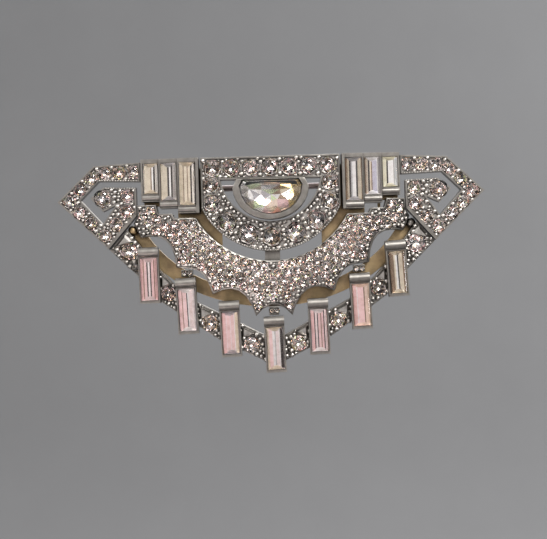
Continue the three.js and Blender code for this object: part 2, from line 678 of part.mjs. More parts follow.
const flangeInner = CATCH.width / 2 + CATCH.play;
const flangeShift = flangeInner + CATCH.flangeWidth / 2;
const flange = toSolid(cylinderAlong('x', CATCH.flangeRadius, CATCH.flangeWidth, 32));
const lever = block(
  flangeInner, flangeInner + CATCH.flangeWidth, CATCH.leverRoot, CATCH.leverReach,
  -CATCH.leverWidth / 2, CATCH.leverWidth / 2,
);
const thumb = toSolid(cylinderAlong('x', CATCH.thumbRadius, CATCH.flangeWidth, 16))
  .translate([flangeShift, CATCH.leverReach - CATCH.thumbInset, 0]);
const rotor = toSolid(cylinderAlong('x', CATCH.rotorRadius, 2 * (flangeInner + CATCH.barrelOverlap), 32))
  .add(flange.translate([flangeShift, 0, 0]))
  .add(flange.translate([-flangeShift, 0, 0]))
  .add(lever.add(thumb).rotate([CATCH.leverAngle, 0, 0]))
  .subtract(toSolid(cylinderAlong('x', CATCH.rotorBore, THROUGH, 24)))
  .subtract(slotCut(CATCH.rotorSlot));
addPiece('catch_collar', rotor.translate([CATCH.x, STEM.y, STEM.z]), brass);

// ---------------------------------------------------------------- standing up

model.position.set(0, STEM.z, -STEM.y);
model.rotation.x = Math.PI / 2;

const brooch = new THREE.Group();
brooch.add(model);

export default brooch;
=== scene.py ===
# Looks for the rhinestone brooch: cut glass stones over foil, beaded pave, softened castings,
# a brass back and a steel pin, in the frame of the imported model.
import math
import random

import bmesh
import bpy
from mathutils import Matrix, Vector
from mathutils.bvhtree import BVHTree


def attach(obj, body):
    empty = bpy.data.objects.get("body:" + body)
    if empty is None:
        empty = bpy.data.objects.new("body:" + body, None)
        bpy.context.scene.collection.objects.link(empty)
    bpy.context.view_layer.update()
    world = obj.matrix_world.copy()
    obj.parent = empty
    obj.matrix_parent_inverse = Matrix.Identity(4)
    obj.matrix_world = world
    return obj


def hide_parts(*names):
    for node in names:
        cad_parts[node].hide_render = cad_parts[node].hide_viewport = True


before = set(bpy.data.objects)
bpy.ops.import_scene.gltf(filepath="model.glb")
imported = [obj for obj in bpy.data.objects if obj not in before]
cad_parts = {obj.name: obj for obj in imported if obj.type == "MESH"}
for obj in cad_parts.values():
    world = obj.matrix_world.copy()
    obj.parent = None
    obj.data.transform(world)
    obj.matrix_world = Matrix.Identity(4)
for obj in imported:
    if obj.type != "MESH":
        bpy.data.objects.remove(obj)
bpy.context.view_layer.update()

MM = 0.001
FRONT = Vector((0, -1, 0))  # out of the stone-set face
ROOT = "brooch"  # the body that holds everything but the pin and the collar of the catch
MERGE = 1e-7  # points this near each other are one, m


# ---------------------------------------------------------------- materials

def new_material(name):
    """An empty node material with one shader, as (material, nodes, links, shader)."""
    material = bpy.data.materials.new(name)
    material.use_nodes = True
    nodes = material.node_tree.nodes
    nodes.clear()
    output = nodes.new("ShaderNodeOutputMaterial")
    shader = nodes.new("ShaderNodeBsdfPrincipled")
    material.node_tree.links.new(shader.outputs[0], output.inputs[0])
    return material, nodes, material.node_tree.links, shader


NOISE_ROUGHNESS = 0.6


def noise(nodes, links, scale_per_mm, detail=4):
    """A noise texture in object space with about this many features per millimetre."""
    coordinates = nodes.new("ShaderNodeTexCoord")
    texture = nodes.new("ShaderNodeTexNoise")
    texture.inputs["Scale"].default_value = scale_per_mm / MM
    texture.inputs["Detail"].default_value = detail
    texture.inputs["Roughness"].default_value = NOISE_ROUGHNESS
    links.new(coordinates.outputs["Object"], texture.inputs["Vector"])
    return texture.outputs["Fac"]


def ramp(nodes, links, factor, stops):
    """A colour ramp through stops, each a (position, colour)."""
    node = nodes.new("ShaderNodeValToRGB")
    elements = node.color_ramp.elements
    while len(elements) < len(stops):
        elements.new(0.5)
    for element, (position, color) in zip(elements, stops):
        element.position = position
        element.color = (*color, 1)
    links.new(factor, node.inputs["Fac"])
    return node.outputs["Color"]


FACTOR, FIRST, SECOND, MIXED = 0, 6, 7, 2  # places of a mix node's colour sockets


def mix_color(nodes, links, factor, first, second, blend="MIX"):
    """Two colours mixed. Each value is a socket or a constant."""
    node = nodes.new("ShaderNodeMix")
    node.data_type = "RGBA"
    node.blend_type = blend
    for place, value in ((FACTOR, factor), (FIRST, first), (SECOND, second)):
        socket = node.inputs[place]
        if isinstance(value, bpy.types.NodeSocket):
            links.new(value, socket)
        else:
            socket.default_value = value if isinstance(value, float) else (*value, 1)
    return node.outputs[MIXED]


SHEEN_GRAIN = 2.5  # fineness of the patches of roughness over that of the tones
RELIEF_GRAIN = 5  # and of the surface's relief
RELIEF_STRENGTH = 0.25
RELIEF_HEIGHT = 0.03 * MM


def metal(name, bright, dull, hollow_shade_color, roughness, grain=0.9, reach=0.7):
    """Worn metal: two tones in patches, painted shade in the hollows (partly tarnish) and a fine uneven
    surface.

    roughness is its (least, most), grain the patches to a millimetre, reach the width of a hollow that gets
    the painted shade, in mm.
    """
    material, nodes, links, shader = new_material(name)
    shader.inputs["Metallic"].default_value = 1.0
    patches = noise(nodes, links, grain, detail=6)
    tone = ramp(nodes, links, patches, [(0.35, dull), (0.65, bright)])
    # Painted shade: ambient occlusion within reach darkens the hollows towards the hollow colour, which
    # also stands for the tarnish there.
    hollow = nodes.new("ShaderNodeAmbientOcclusion")
    hollow.samples = 6
    hollow.inputs["Distance"].default_value = reach * MM
    depth = ramp(nodes, links, hollow.outputs["AO"], [(0.25, (1, 1, 1)), (0.8, (0, 0, 0))])
    painted_shade_mask = nodes.new("ShaderNodeRGBToBW")
    links.new(depth, painted_shade_mask.inputs[0])
    links.new(mix_color(nodes, links, painted_shade_mask.outputs[0], tone, hollow_shade_color), shader.inputs["Base Color"])
    low, high = roughness
    spread = nodes.new("ShaderNodeMapRange")
    spread.inputs["To Min"].default_value = low
    spread.inputs["To Max"].default_value = high
    links.new(noise(nodes, links, grain * SHEEN_GRAIN), spread.inputs["Value"])
    links.new(spread.outputs[0], shader.inputs["Roughness"])
    relief = nodes.new("ShaderNodeBump")
    relief.inputs["Strength"].default_value = RELIEF_STRENGTH
    relief.inputs["Distance"].default_value = RELIEF_HEIGHT
    links.new(noise(nodes, links, grain * RELIEF_GRAIN, detail=3), relief.inputs["Height"])
    links.new(relief.outputs[0], shader.inputs["Normal"])
    return material


GLASS_IOR = 1.52
GLASS_HAZE = 0.06  # most roughness


def clear_glass(name, tint):
    """Clear glass with a little haze in patches."""
    material, nodes, links, shader = new_material(name)
    shader.inputs["Transmission Weight"].default_value = 1.0
    shader.inputs["IOR"].default_value = GLASS_IOR
    shader.inputs["Base Color"].default_value = (*tint, 1)
    haze = nodes.new("ShaderNodeMapRange")
    haze.inputs["From Min"].default_value = 0.5
    haze.inputs["To Min"].default_value = 0.0
    haze.inputs["To Max"].default_value = GLASS_HAZE
    links.new(noise(nodes, links, 0.8), haze.inputs["Value"])
    links.new(haze.outputs[0], shader.inputs["Roughness"])
    return material


def foil(name, metallic, roughness):
    """The foil behind a stone, in the colour that each facet carries, which is partly the foil's tint and
    partly painted reflection.
    """
    material, nodes, links, shader = new_material(name)
    shader.inputs["Metallic"].default_value = metallic
    facet = nodes.new("ShaderNodeVertexColor")
    facet.layer_name = "tint"
    mottle = ramp(nodes, links, noise(nodes, links, 1.5), [(0.3, (0.8, 0.78, 0.76)), (0.6, (1, 1, 1))])
    tinted = mix_color(nodes, links, 1.0, facet.outputs["Color"], mottle, "MULTIPLY")
    links.new(tinted, shader.inputs["Base Color"])
    shader.inputs["Roughness"].default_value = roughness
    return material


# Name, bright tone, dull tone, colour of the painted shade in the hollows (partly tarnish), (least, most)
# roughness
RHODIUM = metal(
    "tarnished_rhodium", (0.25, 0.236, 0.217), (0.18, 0.167, 0.152), (0.03, 0.025, 0.02), (0.28, 0.48),
)
# The same rhodium plating in a lighter tone for the beads, beds, milgrain and raised triangles: the extra
# lightness is painted highlight on the raised metal.
LIT_RHODIUM = metal(
    "raised_rhodium_painted_highlight", (0.52, 0.495, 0.465), (0.30, 0.28, 0.257), (0.08, 0.068, 0.06), (0.2, 0.4), reach=0.3,
)
BRASS = metal(
    "dull_brass", (0.46, 0.34, 0.19), (0.27, 0.20, 0.12), (0.06, 0.045, 0.03), (0.32, 0.55), grain=0.5,
)
# The steel's tones are darker and more mauve than bare steel: painted shade for the pin and rivet, which
# sit behind the castings.
SHADED_STEEL = metal(
    "drawn_steel_painted_shade", (0.36, 0.31, 0.31), (0.22, 0.18, 0.18), (0.05, 0.04, 0.04), (0.22, 0.4),
)
CRYSTAL = clear_glass("clear_crystal", (1.0, 0.99, 0.985))
FOIL = foil("mirror_foil", 1.0, 0.12)
SATIN_FOIL = foil("satin_foil", 0.58, 0.2)
MOON_FOIL = foil("bright_foil", 0.75, 0.1)


# ---------------------------------------------------------------- mesh building

PIN_HEIGHT = 2.4  # of the pin's line above the plane's zero, mm
PIN_DEPTH = 3.3  # and behind the back of the castings


def at(x, y, z):
    """A point of the scene from millimetres: x right, y up, z out from the back of the castings."""
    return Vector((x, -PIN_DEPTH - z, y - PIN_HEIGHT)) * MM


class Shape:
    """Gathers points and faces, each face with a material and a tint, and makes one object of them."""

    def __init__(self):
        self.points, self.faces, self.materials, self.tints = [], [], [], []

    def add(self, matrix, points, faces, materials=None, tints=None):
        """Points placed by a matrix, and their faces: the first material and white, unless told."""
        start = len(self.points)
        self.points += [matrix @ Vector(p) for p in points]
        self.faces += [[start + i for i in face] for face in faces]
        self.materials += materials or [0] * len(faces)
        self.tints += tints or [(1, 1, 1)] * len(faces)

    def make(self, name, materials, smooth=False, replaces=()):
        """The piece of all that was added, on the body of the brooch."""
        mesh = bpy.data.meshes.new(name)
        mesh.from_pydata([tuple(p) for p in self.points], [], self.faces)
        mesh.polygons.foreach_set("material_index", self.materials)
        layer = mesh.color_attributes.new("tint", "FLOAT_COLOR", "CORNER")
        for face, tint in zip(mesh.polygons, self.tints):
            for corner in face.loop_indices:
                layer.data[corner].color = (*tint, 1)
        working = bmesh.new()
        working.from_mesh(mesh)
        bmesh.ops.recalc_face_normals(working, faces=working.faces)
        working.to_mesh(mesh)
        working.free()
        mesh.polygons.foreach_set("use_smooth", [smooth] * len(mesh.polygons))
        finished(name, mesh, materials, ROOT, replaces)


def finished(name, mesh, materials, body, replaces):
    """A visual piece of a mesh, which rides on a body in place of the CAD nodes that it replaces."""
    piece = bpy.data.objects.new(name, mesh)
    bpy.context.scene.collection.objects.link(piece)
    for material in materials:
        mesh.materials.append(material)
    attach(piece, body)
    if replaces:
        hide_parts(*replaces)
    return piece


def circle_points(count, radius, turn=0.0):
    """Points on a circle as (x, y), the first one turned by a share of the step."""
    angles = [math.tau * (i + turn) / count for i in range(count)]
    return [(radius * math.cos(a), radius * math.sin(a)) for a in angles]


def ball(divisions):
    """The points and faces of a unit ball."""
    working = bmesh.new()
    bmesh.ops.create_icosphere(working, subdivisions=divisions, radius=1)
    points = [tuple(v.co) for v in working.verts]
    faces = [[v.index for v in f.verts] for f in working.faces]
    working.free()
    return points, faces


BEAD = ball(2)
GRAIN = ball(1)


def facing(centre, normal, turn=0.0):
    """The matrix of a frame at centre whose z is the normal, turned about it."""
    matrix = normal.to_track_quat("Z", "Y").to_matrix().to_4x4()
    return Matrix.Translation(centre) @ matrix @ Matrix.Rotation(turn, 4, "Z")


# ---------------------------------------------------------------- places of the stones

SAME_PLANE = 0.99999  # cosine between neighbouring faces of one flat patch


def flat_patches(node):
    """The flat patches of a CAD node's surface, as (centre, normal, corners)."""
    working = bmesh.new()
    working.from_mesh(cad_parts[node].data)
    bmesh.ops.remove_doubles(working, verts=working.verts, dist=MERGE)
    working.verts.index_update()
    working.normal_update()
    seen, patches = set(), []
    for face in working.faces:
        if face in seen:
            continue
        seen.add(face)
        patch, queue = [], [face]
        while queue:
            current = queue.pop()
            patch.append(current)
            for edge in current.edges:
                for other in edge.link_faces:
                    if other not in seen and other.normal.dot(face.normal) > SAME_PLANE:
                        seen.add(other)
                        queue.append(other)
        inside = set(patch)
        borders = [e for f in patch for e in f.edges if sum(other in inside for other in e.link_faces) == 1]
        rim = sorted({v for e in borders for v in e.verts}, key=lambda v: v.index)
        centre = sum((v.co for v in rim), Vector()) / len(rim)
        patches.append((centre, face.normal.copy(), [v.co.copy() for v in rim]))
    working.free()
    return patches


TABLE_SHARE = 0.58  # radius of a CAD stone's table over that of the stone
TABLE_SIDES = (6, 8)
TABLE_RADII = (0.3 * MM, 1.0 * MM)  # least and most
TABLE_FACING = 0.7  # least cosine between a table's normal and the front
TABLE_SLACK = 0.03  # share by which the corners' distances from its middle may differ


def round_stones(node):
    """(centre of the table, normal, radius of the stone) for each round stone in a CAD node."""
    stones = []
    for centre, normal, corners in flat_patches(node):
        if len(corners) not in TABLE_SIDES or normal.dot(FRONT) < TABLE_FACING:
            continue
        reaches = [(corner - centre).length for corner in corners]
        mean = sum(reaches) / len(reaches)
        regular = max(reaches) - min(reaches) < TABLE_SLACK * mean
        if regular and TABLE_RADII[0] < mean < TABLE_RADII[1]:
            stones.append((centre, normal, mean / TABLE_SHARE))
    return stones


# ---------------------------------------------------------------- cut stones

GLASS, MIRROR = 0, 1
WHITE, ICE, GREY, DARK_REFLECTION = (1.0, 0.98, 0.97), (0.86, 0.90, 1.0), (0.60, 0.58, 0.60), (0.07, 0.06, 0.06)
PINK, BLUSH, PEACH, CORAL = (1.0, 0.69, 0.69), (1.0, 0.86, 0.85), (1.0, 0.80, 0.68), (0.98, 0.46, 0.36)
BEIGE, GOLD, BROWN = (0.86, 0.76, 0.61), (0.80, 0.62, 0.30), (0.33, 0.23, 0.16)
LIME, LAVENDER = (0.84, 0.95, 0.62), (0.62, 0.60, 0.72)
# Facet colours of the foil: partly its aged tint, partly painted reflection, the white and dark facets
# standing for bright and dark surroundings that the stones mirror.
CHATON_FOIL_AND_REFLECTION_PALETTE = [
    # share of the facets, colour
    (0.27, WHITE), (0.12, BLUSH), (0.06, PINK), (0.03, PEACH), (0.13, BEIGE), (0.03, LIME), (0.14, GREY),
    (0.10, BROWN), (0.12, DARK_REFLECTION),
]
EVEN = (0.92, 1.04)  # range of brightness from strip to strip in a stick
LIVELY = (0.74, 1.0)  # and from facet to facet in the other stones


def varied(rng, color, spread):
    """A colour made lighter or darker within a spread of brightness."""
    brightness = rng.uniform(*spread)
    return tuple(min(1.0, c * brightness) for c in color)


def pick(rng, palette):
    """One colour of a palette of (share, colour), slightly varied."""
    mark = rng.random() * sum(share for share, _ in palette)
    for share, color in palette:
        mark -= share
        if mark <= 0:
            break
    return varied(rng, color, LIVELY)


STONE_POINTS = 16  # of a cut stone's outline
HALF_GIRDLE = 0.02 * MM
# Where the facets of a cut stone break: share of the outline, and share of the crown or the depth
CROWN_BREAK = (0.80, 0.58)
UPPER_BACK_BREAK = (0.66, 0.50)
LOWER_BACK_BREAK = (0.34, 0.84)


def add_cut_stone(shape, matrix, outline, crown, depth, tint_of, table):
    """A stone on a 16-point outline, its girdle at z = 0: eight-sided table, cut crown, cut back with foil.

    table is its share of the outline. The points run in rings, from the table down to the culet, and each
    ring's first number is named below.
    """
    def scaled(points, share, height):
        return [(x * share, y * share, height) for x, y in points]

    corners, between = outline[0::2], outline[1::2]
    points = [
        *scaled(corners, table, crown),
        *scaled(between, CROWN_BREAK[0], CROWN_BREAK[1] * crown),
        *scaled(outline, 1, HALF_GIRDLE),
        *scaled(outline, 1, -HALF_GIRDLE),
        *scaled(between, UPPER_BACK_BREAK[0], -UPPER_BACK_BREAK[1] * depth),
        *scaled(corners, LOWER_BACK_BREAK[0], -LOWER_BACK_BREAK[1] * depth),
        (0, 0, -depth),
    ]
    upper, high, low, lower, lowest, culet = 8, 16, 32, 48, 56, 64
    faces = [list(range(8))]
    for i in range(8):
        j, k = (i + 1) % 8, (i - 1) % 8
        faces += [
            [i, upper + i, j],
            [i, upper + k, high + 2 * i, upper + i],
            [upper + i, high + 2 * i, high + 2 * i + 1],
            [upper + i, high + 2 * i + 1, high + (2 * i + 2) % 16],
        ]
    faces += [[high + i, low + i, low + (i + 1) % 16, high + (i + 1) % 16] for i in range(16)]
    glass_count = len(faces)
    for i in range(8):
        j = (i + 1) % 8
        faces += [
            [low + 2 * i, lower + i, low + 2 * i + 1],
            [low + 2 * i + 1, lower + i, low + (2 * i + 2) % 16],
            [low + (2 * i + 2) % 16, lower + i, lower + j],
            [lower + i, lowest + i, lowest + j],
            [lower + i, lowest + j, lower + j],
            [lowest + i, culet, lowest + j],
        ]
    tints = [WHITE] * glass_count
    for face in faces[glass_count:]:
        middle = sum((Vector(points[i]) for i in face), Vector()) / len(face)
        tints.append(tint_of(middle.x, middle.y))
    materials = [GLASS] * glass_count + [MIRROR] * (len(faces) - glass_count)
    shape.add(matrix, points, faces, materials, tints)


CHATON_CROWN = 0.38  # height over the stone's radius
CHATON_DEPTH = 0.70  # of the back, over the radius
CHATON_DEEPEST = 0.95 * MM
CHATON_TABLES = (0.48, 0.56)  # least and most share of the outline


def set_chatons(name, node, seed, grow, lift):
    """Cut stones in place of a CAD group of chatons, larger by grow and proud of it by lift (mm).

    Returns (centre of the girdle, normal, radius) of each.
    """
    rng = random.Random(seed)
    shape = Shape()
    seats = []
    for centre, normal, cad_radius in round_stones(node):
        radius = grow * cad_radius
        crown = CHATON_CROWN * radius
        depth = min(CHATON_DEPTH * radius, CHATON_DEEPEST)
        girdle = centre + normal * (lift * MM - crown)
        matrix = facing(girdle, normal, rng.uniform(0, math.tau))
        add_cut_stone(
            shape, matrix, circle_points(STONE_POINTS, radius), crown, depth,
            lambda x, y: pick(rng, CHATON_FOIL_AND_REFLECTION_PALETTE), rng.uniform(*CHATON_TABLES),
        )
        seats.append((girdle, normal, radius))
    shape.make(name, [CRYSTAL, FOIL], replaces=(node,))
    return seats


STICK_FACING = 0.9  # least cosine between a baguette's table and the front


def lie_of(node):
    """How a CAD baguette lies: a matrix (x across, y along, z outward) and its (width, length, height)."""
    fronts = [
        (centre, normal, corners) for centre, normal, corners in flat_patches(node)
        if normal.dot(FRONT) > STICK_FACING and len(corners) == 4
    ]
    _, normal, corners = max(fronts, key=lambda patch: max((c - patch[0]).length for c in patch[2]))
    first, second = corners[0], min(corners[1:], key=lambda c: (c - corners[0]).length)
    across = (second - first).normalized()
    along = normal.cross(across)
    if along.z < 0:
        along = -along
    across = along.cross(normal)
    axes = (across, along, normal)
    spans = []
    for axis in axes:
        reach = [vertex.co.dot(axis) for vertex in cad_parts[node].data.vertices]
        spans.append((min(reach), max(reach)))
    origin = across * sum(spans[0]) / 2 + along * sum(spans[1]) / 2 + normal * spans[2][1]
    matrix = Matrix.Translation(origin) @ Matrix((across, along, normal)).transposed().to_4x4()
    return matrix, [high - low for low, high in spans]


# A baguette's cut, where the skirt is its upright edge below the girdle
STICK = {"crown": 0.30 * MM, "depth": 0.42 * MM, "bevel": 0.22 * MM, "skirt": 0.06 * MM}
STICK_END_BEVEL = 1.6  # bevel at the ends over that at the sides
STICK_END_SLOPE = 1.6  # how far the back's ends draw in, over its depth there
STICK_ROUNDNESS = 1.7  # power of the curve across the back


def add_baguette(shape, matrix, width, length, strips, end_tint, rng):
    """A step-cut stick of glass, its top at z = 0, with lengthwise strips of foil behind it, their colours
    partly the foil's tint and partly painted reflection.
    """
    crown, depth, bevel, skirt = STICK["crown"], STICK["depth"], STICK["bevel"], STICK["skirt"]
    across = [-width / 2]
    total = sum(share for share, _ in strips)
    for share, _ in strips:
        across.append(across[-1] + width * share / total)
    girdle = -crown
    back = [(x, girdle - skirt - depth * (1 - abs(2 * x / width) ** STICK_ROUNDNESS)) for x in across]
    top_x, top_y = width / 2 - bevel, length / 2 - STICK_END_BEVEL * bevel
    points = []
    for y in (-1, 1):
        points += [(x * top_x, y * top_y, 0) for x in (-1, 1)]
        points += [(x * width / 2, y * length / 2, girdle) for x in (-1, 1)]
    start = len(points)
    for x, z in back:
        reach = length / 2 + STICK_END_SLOPE * (z - girdle + skirt)
        points += [(x, -reach, z), (x, reach, z)]
    last = start + 2 * (len(back) - 1)
    top_and_bevels = [[0, 1, 5, 4], [2, 3, 1, 0], [4, 5, 7, 6], [2, 0, 4, 6], [1, 3, 7, 5]]
    sides = [[2, 6, start + 1, start], [3, last, last + 1, 7]]
    faces = top_and_bevels + sides
    tints = [WHITE] * len(top_and_bevels) + [GREY] * len(sides)
    for i, (_, tint) in enumerate(strips):
        a = start + 2 * i
        faces.append([a, a + 1, a + 3, a + 2])
        tints.append(varied(rng, tint, EVEN))
    faces += [[2, *range(start, last + 1, 2), 3], [7, *range(last + 1, start, -2), 6]]
    tints += [varied(rng, end_tint, EVEN), varied(rng, end_tint, EVEN)]
    glass_count = len(top_and_bevels)
    materials = [GLASS] * glass_count + [MIRROR] * (len(faces) - glass_count)
    shape.add(matrix, points, faces, materials, tints)


# ---------------------------------------------------------------- metal round the stones

BACK_FACING = -0.5  # most cosine between the front and a face of the underside
CAD_CROWN = 0.42  # height of a CAD stone's crown over the stone's radius
CROWN_FACE_REACH = 1.2  # farthest that a crown's corners lie from its middle, over the radius
BED_SLACK = 0.01 * MM  # height that tells a crown's face from the bed


def bed_without_crowns(name, node):
    """The bed of a CAD group of chatons, open underneath and where the stones stand."""
    working = bmesh.new()
    working.from_mesh(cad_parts[node].data)
    bmesh.ops.remove_doubles(working, verts=working.verts, dist=MERGE)
    working.normal_update()
    stones = round_stones(node)

    def in_a_stone(face):
        middle = face.calc_center_median()
        for centre, normal, radius in stones:
            offset = middle - centre
            height = offset.dot(normal)
            beside = (offset - normal * height).length < radius
            above_the_bed = height > BED_SLACK - CAD_CROWN * radius
            small = all((v.co - centre).length < CROWN_FACE_REACH * radius for v in face.verts)
            if beside and above_the_bed and small:
                return True
        return False

    doomed = [face for face in working.faces if face.normal.dot(FRONT) < BACK_FACING or in_a_stone(face)]
    bmesh.ops.delete(working, geom=doomed, context="FACES")
    mesh = bpy.data.meshes.new(name)
    working.to_mesh(mesh)
    working.free()
    finished(name, mesh, [LIT_RHODIUM], ROOT, ())


def add_bead(shape, centre, normal, radius, flatness, form):
    """A bead in one of the two ball forms, its height flatness times its width."""
    points, faces = form
    sizes = Matrix.Diagonal((radius, radius, radius * flatness, 1))
    shape.add(facing(centre, normal) @ sizes, points, faces)


MILGRAIN_PITCH = 0.42  # mm
MILGRAIN_FLATNESS = 0.8


def add_milgrain(shape, points, radius):
    """Small beads of a radius in mm, at an even pitch along a line of points."""
    carried = 0.0
    for start, end in zip(points, points[1:]):
        length = (end - start).length
        while carried <= length:
            add_bead(shape, start.lerp(end, carried / length), FRONT, radius * MM, MILGRAIN_FLATNESS, GRAIN)
            carried += MILGRAIN_PITCH * MM
        carried -= length


BEAD_FACING = 0.6  # least cosine between the front and a surface that holds beads
BEAD_RISE = 0.1 * MM  # of a bead's middle above the surface
BEAD_SPREAD = (0.85, 1.1)  # least and most radius over the size asked for
BEAD_FLATNESS = 0.9
FINE_FROM = 0.26  # mm of radius above which a bead gets the finer ball
EDGE_DROP = 0.1 * MM  # fall of the surface that counts as an edge
CELL = 1.5 * MM  # side of the squares that sort the beads by place
ASIDE = (Vector((1, 0, 0)), Vector((-1, 0, 0)), Vector((0, 0, 1)), Vector((0, 0, -1)))


def fill_with_beads(shape, node, seats, sizes, seed, overlap=0.10, darts=6000, margin=0.0):
    """Beads of falling sizes wherever the face of a CAD node leaves room between the stones.

    seats are (centre, normal, radius) of what is already there. A bead may overlap its neighbours by
    overlap, and stays margin away from the edges of the node (mm).
    """
    rng = random.Random(seed)
    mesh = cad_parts[node].data
    tree = BVHTree.FromPolygons([v.co for v in mesh.vertices], [p.vertices[:] for p in mesh.polygons])
    low = [min(v.co[axis] for v in mesh.vertices) for axis in range(3)]
    high = [max(v.co[axis] for v in mesh.vertices) for axis in range(3)]
    taken = {}

    def cell_of(point):
        return int(point.x // CELL), int(point.z // CELL)

    def neighbours(point):
        column, row = cell_of(point)
        keys = [(column + i, row + j) for i in (-1, 0, 1) for j in (-1, 0, 1)]
        return [item for key in keys for item in taken.get(key, ())]

    def take(point, radius):
        taken.setdefault(cell_of(point), []).append((point, radius))

    def near_an_edge(dart, spot):
        for shift in ASIDE:
            beside, *_ = tree.ray_cast(dart + shift * margin * MM, -FRONT)
            if beside is None or beside.y > spot.y + EDGE_DROP:
                return True
        return False

    for girdle, _, radius in seats:
        take(girdle, radius)
    for size in sizes:
        for _ in range(darts):
            dart = Vector((rng.uniform(low[0], high[0]), low[1] - MM, rng.uniform(low[2], high[2])))
            spot, normal, *_ = tree.ray_cast(dart, -FRONT)
            if spot is None or normal.dot(FRONT) < BEAD_FACING:
                continue
            if margin and near_an_edge(dart, spot):
                continue
            radius = size * MM * rng.uniform(*BEAD_SPREAD)
            if any(
                math.hypot(spot.x - other.x, spot.z - other.z) < reach + radius - overlap * MM
                for other, reach in neighbours(spot)
            ):
                continue
            take(spot, radius)
            form = BEAD if size > FINE_FROM else GRAIN
            add_bead(shape, spot + normal * BEAD_RISE, normal, radius, BEAD_FLATNESS, form)


# ---------------------------------------------------------------- castings

FIELD_FLOORS = {"center_panel": 2.1, "left_wing_frame": 1.5, "right_wing_frame": 1.5}  # heights, mm
FLOOR_SLACK = 0.01 * MM
FLOOR_FACING = 0.99
FLAT = math.radians(0.5)  # an edge below this angle is dissolved
SHARP = math.radians(28)  # one above this gets a bevel
CREASE = math.radians(38)  # and one above this after it stays sharp in the shading
USUAL_BEVEL = 0.09  # mm
BROAD_BEVELS = {"half_moon_bezel": 0.38}
TURNED_BEVEL = 0.05  # of the pin and the collar


def refined(node, name, material, bevel=USUAL_BEVEL, body=ROOT):
    """A casting with softened edges, made from the CAD node that it stands for.

    The floor of a field is left out, so that the stones can go deeper than it.
    """
    working = bmesh.new()
    working.from_mesh(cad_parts[node].data)
    bmesh.ops.remove_doubles(working, verts=working.verts, dist=MERGE)
    working.normal_update()
    if node in FIELD_FLOORS:
        level = at(0, 0, FIELD_FLOORS[node]).y
        floor = [
            face for face in working.faces
            if face.normal.dot(FRONT) > FLOOR_FACING
            and abs(face.calc_center_median().y - level) < FLOOR_SLACK
        ]
        bmesh.ops.delete(working, geom=floor, context="FACES")
    bmesh.ops.dissolve_limit(working, angle_limit=FLAT, verts=working.verts, edges=working.edges)
    working.normal_update()
    sharp = [e for e in working.edges if len(e.link_faces) == 2 and e.calc_face_angle(0) > SHARP]
    bmesh.ops.bevel(
        working, geom=sharp, offset=bevel * MM, segments=2, profile=0.6, affect="EDGES", clamp_overlap=True,
    )
    bmesh.ops.remove_doubles(working, verts=working.verts, dist=MERGE)
    bmesh.ops.recalc_face_normals(working, faces=working.faces)
    for edge in working.edges:
        edge.smooth = len(edge.link_faces) == 2 and edge.calc_face_angle(0) < CREASE
    for face in working.faces:
        face.smooth = True
    mesh = bpy.data.meshes.new(name)
    working.to_mesh(mesh)
    working.free()
    piece = finished(name, mesh, [material], body, (node,))
    weighted = piece.modifiers.new("even_shading", "WEIGHTED_NORMAL")
    weighted.keep_sharp = True


CASTINGS = {
    "rhodium": [
        "fringe_frame", "pave_crescent", "center_panel", "half_moon_bezel", "left_wing_frame",
        "right_wing_frame", "left_channel_box", "right_channel_box",
        *(f"fringe_setting_{i}" for i in range(1, 8)), *(f"fringe_link_{i}" for i in range(1, 4)),
    ],
    "brass": ["rear_arc_strap", "hinge_back_plate", "catch_back_plate", "hinge_bracket", "catch_base"],
    "steel": ["hinge_rivet"],
}
FINISHES = {"rhodium": RHODIUM, "brass": BRASS, "steel": SHADED_STEEL}
for slot_name, casting_nodes in CASTINGS.items():
    for casting in casting_nodes:
        casting_bevel = BROAD_BEVELS.get(casting, USUAL_BEVEL)
        refined(casting, f"{casting}_cast", FINISHES[slot_name], casting_bevel)
refined("pin_stem", "pin_stem_wire", SHADED_STEEL, TURNED_BEVEL, body="pin")
refined("catch_collar", "catch_collar_turned", BRASS, TURNED_BEVEL, body="catch_rotor")

# ---------------------------------------------------------------- camera, light and stage

LENS = 85.0
SENSOR = 36.0
VIEW_WIDTH = 86.9 * MM  # width of the view at the face of the brooch
AIM = Vector((0.07, -5.8, -13.46)) * MM
ROLL = math.radians(1.7)

camera = bpy.data.objects.new("camera", bpy.data.cameras.new("camera"))
bpy.context.scene.collection.objects.link(camera)
camera.data.lens = LENS
camera.data.sensor_width = SENSOR
camera.data.clip_start = 0.01
camera.data.clip_end = 20
camera.location = AIM + FRONT * (VIEW_WIDTH * LENS / SENSOR)
camera.rotation_euler = (math.radians(90), 0, 0)
camera.rotation_euler.rotate_axis("Z", -ROLL)
bpy.context.scene.camera = camera

WASH_DIRECTION = Vector((-0.55, 0.45, -0.2))
LIGHTS = {
    # name: place, size, watts, colour, direction
    "key": ((0.30, -0.60, 0.50), 0.40, 9.0, (1.0, 0.99, 0.97), None),
    "window": ((-0.50, -0.55, 0.35), 0.30, 2.6, (1.0, 0.97, 0.96), None),
    "low_fill": ((-0.20, -0.60, -0.35), 0.30, 1.6, (1.0, 0.88, 0.86), None),
    "back": ((0.15, 0.45, 0.40), 0.60, 3.5, (1.0, 0.97, 0.95), None),
    "backdrop_wash": ((0.80, 0.35, 0.30), 0.70, 8.0, (1.0, 1.0, 1.0), WASH_DIRECTION),
}
for light_name, (place, size, watts, color, direction) in LIGHTS.items():
    light = bpy.data.objects.new(light_name, bpy.data.lights.new(light_name, "AREA"))
    bpy.context.scene.collection.objects.link(light)
    light.data.shape = "DISK"
    light.data.size = size
    light.data.energy = watts
    light.data.color = color
    light.location = place
    towards = direction or AIM - Vector(place)
    light.rotation_euler = towards.to_track_quat("-Z", "Y").to_euler()


